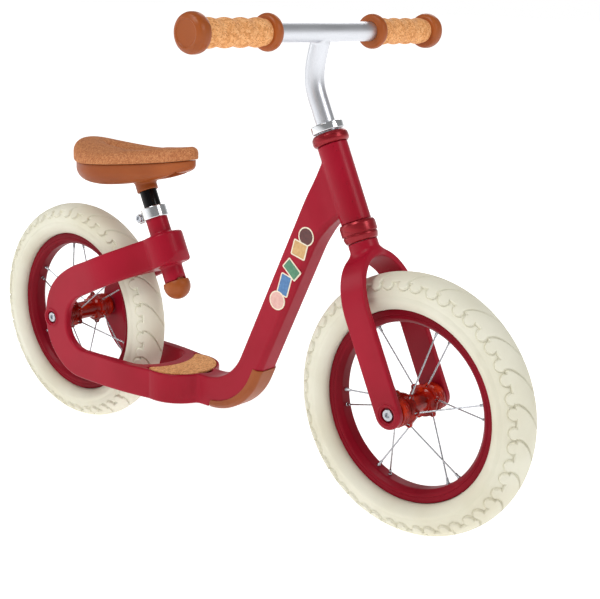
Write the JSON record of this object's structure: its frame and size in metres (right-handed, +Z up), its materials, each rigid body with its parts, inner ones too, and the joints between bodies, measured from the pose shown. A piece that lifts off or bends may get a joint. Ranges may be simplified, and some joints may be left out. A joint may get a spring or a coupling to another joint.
{
  "type": "balance bike",
  "caption": "Toddler's pedal-free balance bike: one-piece frame with a low footboard, spoked wheels, T handlebar with cork-sleeved grips and a sliding padded saddle.",
  "frame": {"origin": "centre of the bounding box at the ground, midway between the wheels", "axes": "+Z up, +X forwards (towards the front wheel), +Y to the rider's left; the steering is straight ahead at rest"},
  "size_m": [0.858, 0.4252, 0.5688],
  "materials": {
    "frame_paint": "satin",
    "rim_paint": "satin",
    "anodised_red": "gloss",
    "ivory_tyre": "matte",
    "cork": "matte",
    "brown_plastic": "satin",
    "saddle_foam": "matte",
    "black_steel": "gloss",
    "satin_aluminium": "satin",
    "chrome": "polished",
    "bright_steel": "satin",
    "clear_amber": "gloss"
  },
  "bodies": {
    "frame": {"frame": "frame_paint", "deck_pad": "cork", "bend_guard": "brown_plastic", "seat_tube_plug": "brown_plastic", "seat_clamp": "chrome", "seat_clamp_bolt": "bright_steel", "lower_headset_cup": "anodised_red", "upper_headset_cup": "anodised_red", "rear_axle": "bright_steel", "rear_axle_bolt_left": "bright_steel", "rear_axle_bolt_right": "bright_steel"},
    "fork": {"fork": "frame_paint", "stem_clamp": "chrome", "stem_clamp_screw": "bright_steel", "front_axle": "bright_steel", "front_axle_bolt_left": "bright_steel", "front_axle_bolt_right": "bright_steel"},
    "handlebar": {"handlebar": "satin_aluminium", "grip_core_left": "brown_plastic", "grip_core_right": "brown_plastic", "grip_cork_left": "cork", "grip_cork_right": "cork"},
    "seat": {"seat_post": "black_steel", "saddle_shell": "brown_plastic", "saddle_pad": "saddle_foam"},
    "rear_wheel": {"rear_tyre": "ivory_tyre", "rear_rim": "rim_paint", "rear_hub": "clear_amber", "rear_bearing_left": "bright_steel", "rear_bearing_right": "bright_steel", "rear_spoke_left_1": "bright_steel", "rear_spoke_right_1": "bright_steel", "rear_spoke_left_2": "bright_steel", "rear_spoke_right_2": "bright_steel", "rear_spoke_left_3": "bright_steel", "rear_spoke_right_3": "bright_steel", "rear_spoke_left_4": "bright_steel", "rear_spoke_right_4": "bright_steel", "rear_spoke_left_5": "bright_steel", "rear_spoke_right_5": "bright_steel", "rear_spoke_left_6": "bright_steel", "rear_spoke_right_6": "bright_steel"},
    "front_wheel": {"front_tyre": "ivory_tyre", "front_rim": "rim_paint", "front_hub": "clear_amber", "front_bearing_left": "bright_steel", "front_bearing_right": "bright_steel", "front_spoke_left_1": "bright_steel", "front_spoke_right_1": "bright_steel", "front_spoke_left_2": "bright_steel", "front_spoke_right_2": "bright_steel", "front_spoke_left_3": "bright_steel", "front_spoke_right_3": "bright_steel", "front_spoke_left_4": "bright_steel", "front_spoke_right_4": "bright_steel", "front_spoke_left_5": "bright_steel", "front_spoke_right_5": "bright_steel", "front_spoke_left_6": "bright_steel", "front_spoke_right_6": "bright_steel"}
  },
  "joints": [
    {"name": "steering", "type": "hinge", "parent": "frame", "child": "fork", "pos_m": [0.279, 0, 0.15], "axis": [-0.421, 0, 0.907], "continuous": true},
    {"name": "handlebar_height", "type": "slide", "parent": "fork", "child": "handlebar", "axis": [-0.421, 0, 0.907], "range_m": [-0.008, 0.03]},
    {"name": "seat_height", "type": "slide", "parent": "frame", "child": "seat", "axis": [-0.4226, 0, 0.9063], "range_m": [-0.02, 0.014]},
    {"name": "rear_wheel_spin", "type": "hinge", "parent": "frame", "child": "rear_wheel", "pos_m": [-0.279, 0, 0.15], "axis": [0, 1, 0], "continuous": true},
    {"name": "front_wheel_spin", "type": "hinge", "parent": "fork", "child": "front_wheel", "pos_m": [0.279, 0, 0.15], "axis": [0, 1, 0], "continuous": true}
  ]
}
